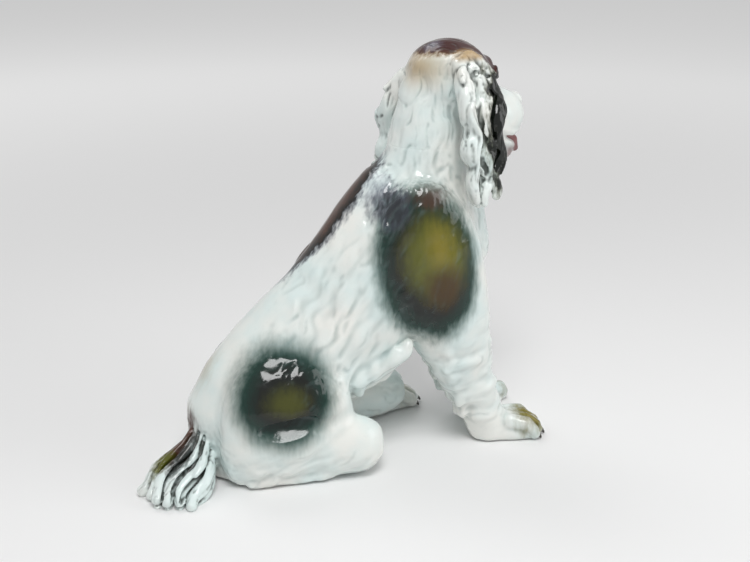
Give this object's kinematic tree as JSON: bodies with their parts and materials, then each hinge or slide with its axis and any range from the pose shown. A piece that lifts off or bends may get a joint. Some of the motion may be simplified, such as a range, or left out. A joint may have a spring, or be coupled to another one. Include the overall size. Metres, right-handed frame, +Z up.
{
  "type": "seated spaniel figure",
  "caption": "Seated spaniel in glazed porcelain, slip-cast in parts and luted together, head turned, jaw open, plume tail, for a shelf or mantelpiece.",
  "frame": {"origin": "on the ground, under the middle of the figure's box", "axes": "+Z up; the dog looks along -Y, its right side faces -X; the head is turned towards +X"},
  "size_m": [0.1024, 0.2504, 0.246],
  "materials": {
    "glazed_porcelain": "glossy clear glaze over painted patches of dark green, olive and brown",
    "tongue_glaze": "glossy pink-brown glaze",
    "slip": "fired slip in the joints"
  },
  "bodies": {
    "root": {"head_casting": "glazed_porcelain", "left_ear": "glazed_porcelain", "left_ear_lute": "slip", "left_foreleg": "glazed_porcelain", "left_foreleg_lute": "slip", "left_hind_leg": "glazed_porcelain", "left_hind_leg_lute": "slip", "lower_jaw": "glazed_porcelain", "lower_jaw_lute": "slip", "neck_lute": "slip", "right_ear": "glazed_porcelain", "right_ear_lute": "slip", "right_foreleg": "glazed_porcelain", "right_foreleg_lute": "slip", "right_hind_leg": "glazed_porcelain", "right_hind_leg_lute": "slip", "tail_plume": "glazed_porcelain", "tail_plume_lute": "slip", "tongue": "tongue_glaze", "tongue_lute": "slip", "torso_casting": "glazed_porcelain"}
  },
  "joints": []
}
